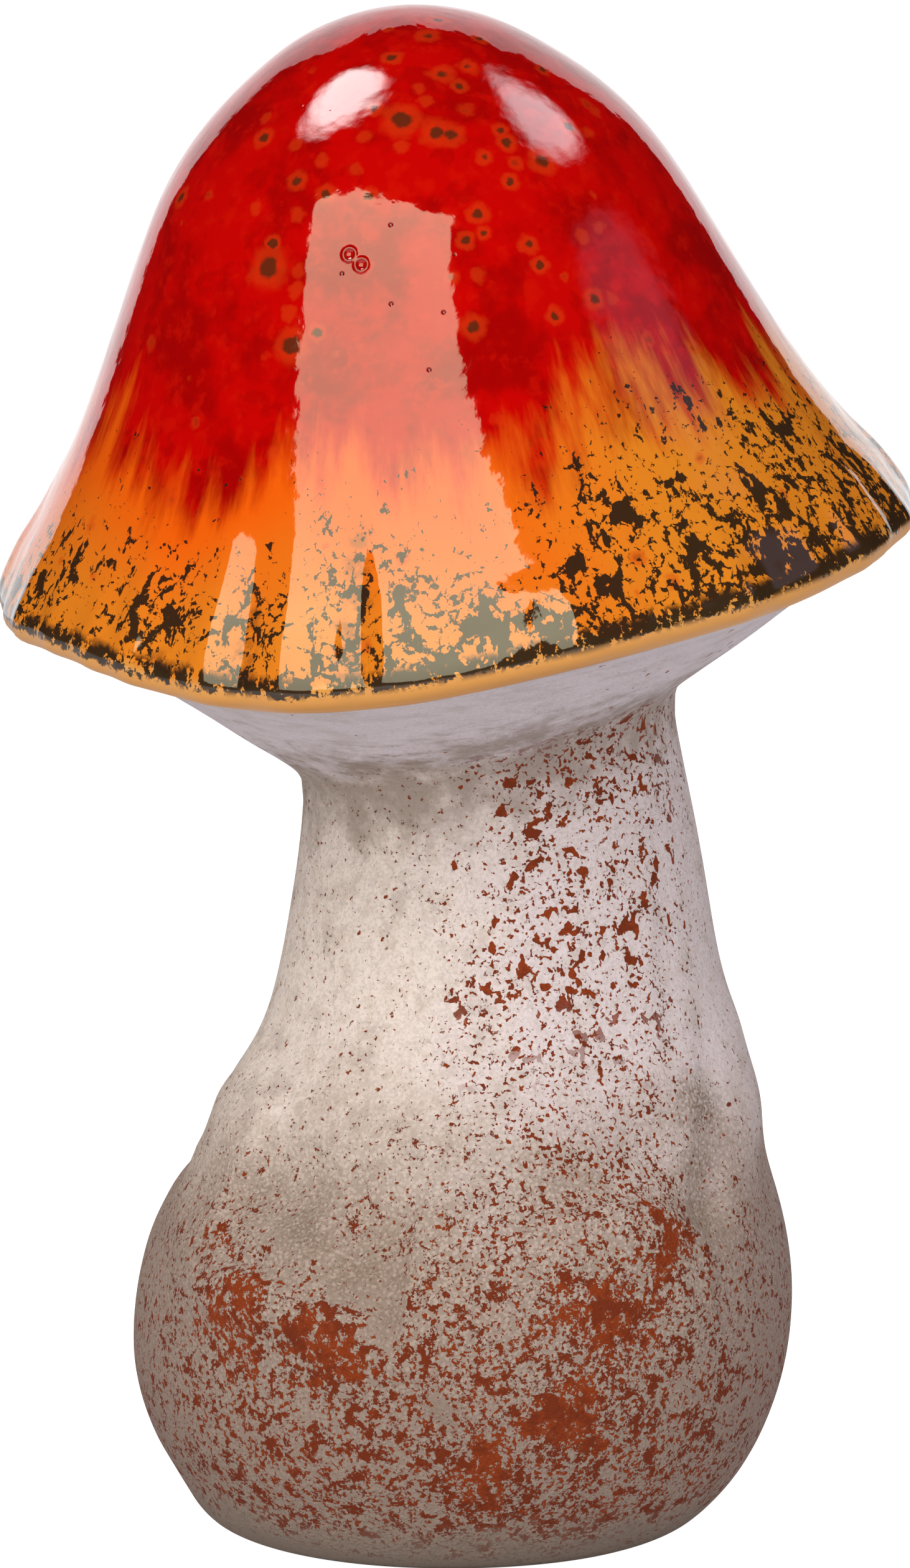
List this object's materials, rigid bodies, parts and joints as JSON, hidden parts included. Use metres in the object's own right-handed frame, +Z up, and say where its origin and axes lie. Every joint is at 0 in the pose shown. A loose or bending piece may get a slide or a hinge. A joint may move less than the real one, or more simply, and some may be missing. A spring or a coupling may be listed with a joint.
{
  "type": "ceramic mushroom ornament",
  "caption": "Hollow ceramic mushroom: a glossy red to amber glazed cap on a matte, whitewashed bulbous stem with root folds, standing on its flat foot.",
  "frame": {"origin": "centre of the flat foot, on the surface that the ornament stands on", "axes": "+Z up towards the top of the cap, -Y towards the viewer of the pictured front, +X to that viewer's right"},
  "size_m": [0.1232, 0.1221, 0.2074],
  "materials": {
    "terracotta": "matte unglazed red earthenware",
    "slip": "matte grey-brown joining slip",
    "glaze": "thick glossy glaze, red at the top to amber at the rim, with dark spots and flecks",
    "engobe": "matte off-white engobe with terracotta showing through"
  },
  "bodies": {
    "root": {"stem_casting": "terracotta", "cap_casting": "terracotta", "joint_slip": "slip", "cap_glaze": "glaze", "underside_engobe": "engobe", "stem_engobe": "engobe"}
  },
  "joints": []
}
